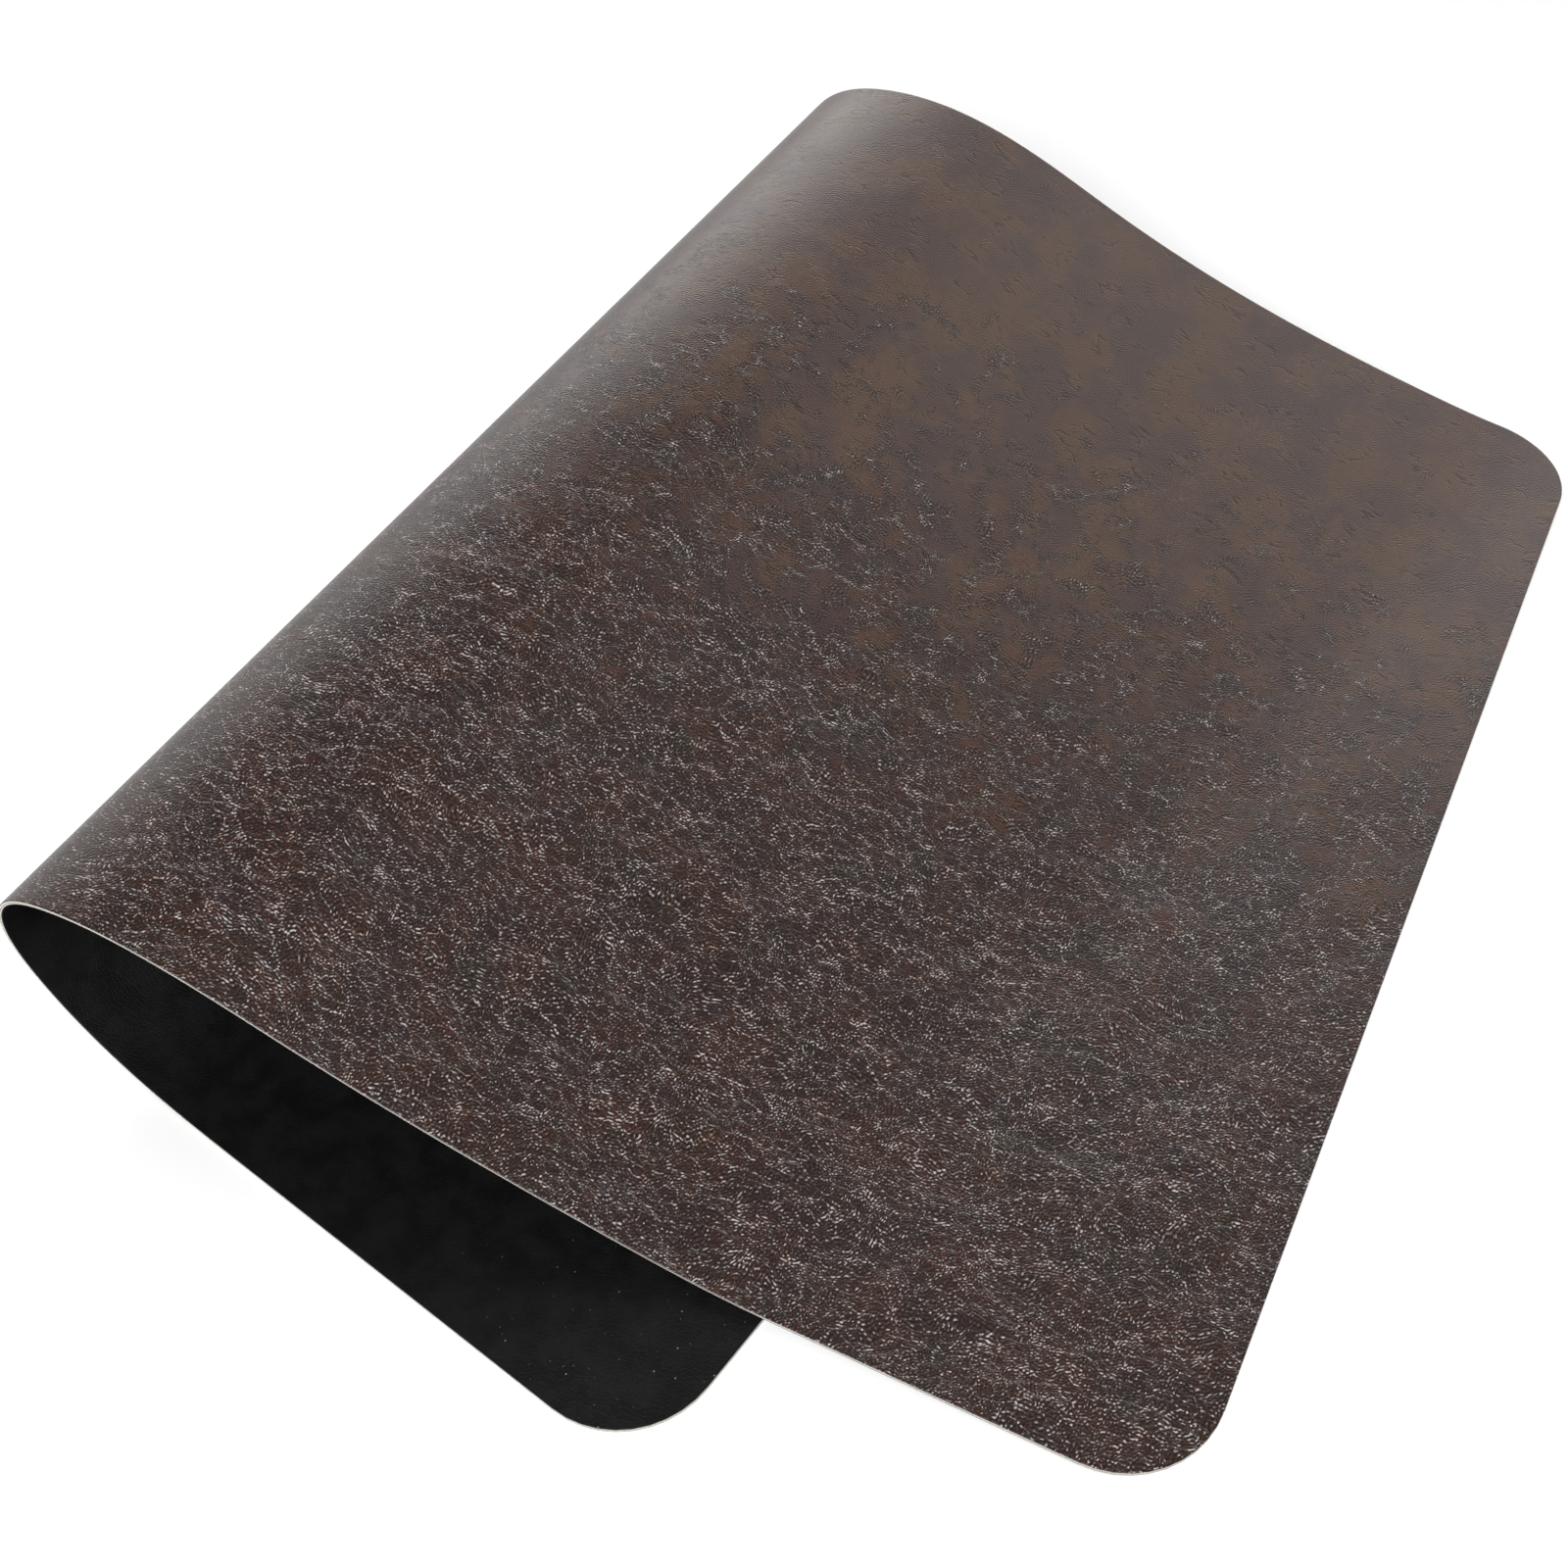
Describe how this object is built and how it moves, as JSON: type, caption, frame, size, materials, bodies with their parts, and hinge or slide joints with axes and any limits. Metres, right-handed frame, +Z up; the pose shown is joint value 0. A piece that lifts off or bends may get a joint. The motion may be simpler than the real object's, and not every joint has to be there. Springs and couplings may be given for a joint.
{
  "type": "desk mat",
  "caption": "Thin double-sided leather desk mat with rounded corners, lying folded over so that its brown grained face and its black face both show.",
  "frame": {"origin": "on the table plane, under the middle of the folded mat's bounding box", "axes": "+Z up, away from the table; -Y is the front, where the fold's open end shows the black face; the fold's roll lies along Y on the -X side and the upper flap's free end is on the +X side"},
  "size_m": [0.3584, 0.4578, 0.0819],
  "materials": {
    "brown_leather": "satin, mottled brown, grained",
    "pale_cloth": "matte knitted base cloth",
    "bond_film": "matte adhesive film",
    "grey_cloth": "matte knitted base cloth",
    "black_leather": "satin, black, fine grained"
  },
  "bodies": {
    "root": {"brown_face_skin": "brown_leather", "brown_face_backing_cloth": "pale_cloth", "bonding_film": "bond_film", "black_face_backing_cloth": "grey_cloth", "black_face_skin": "black_leather"}
  },
  "joints": []
}
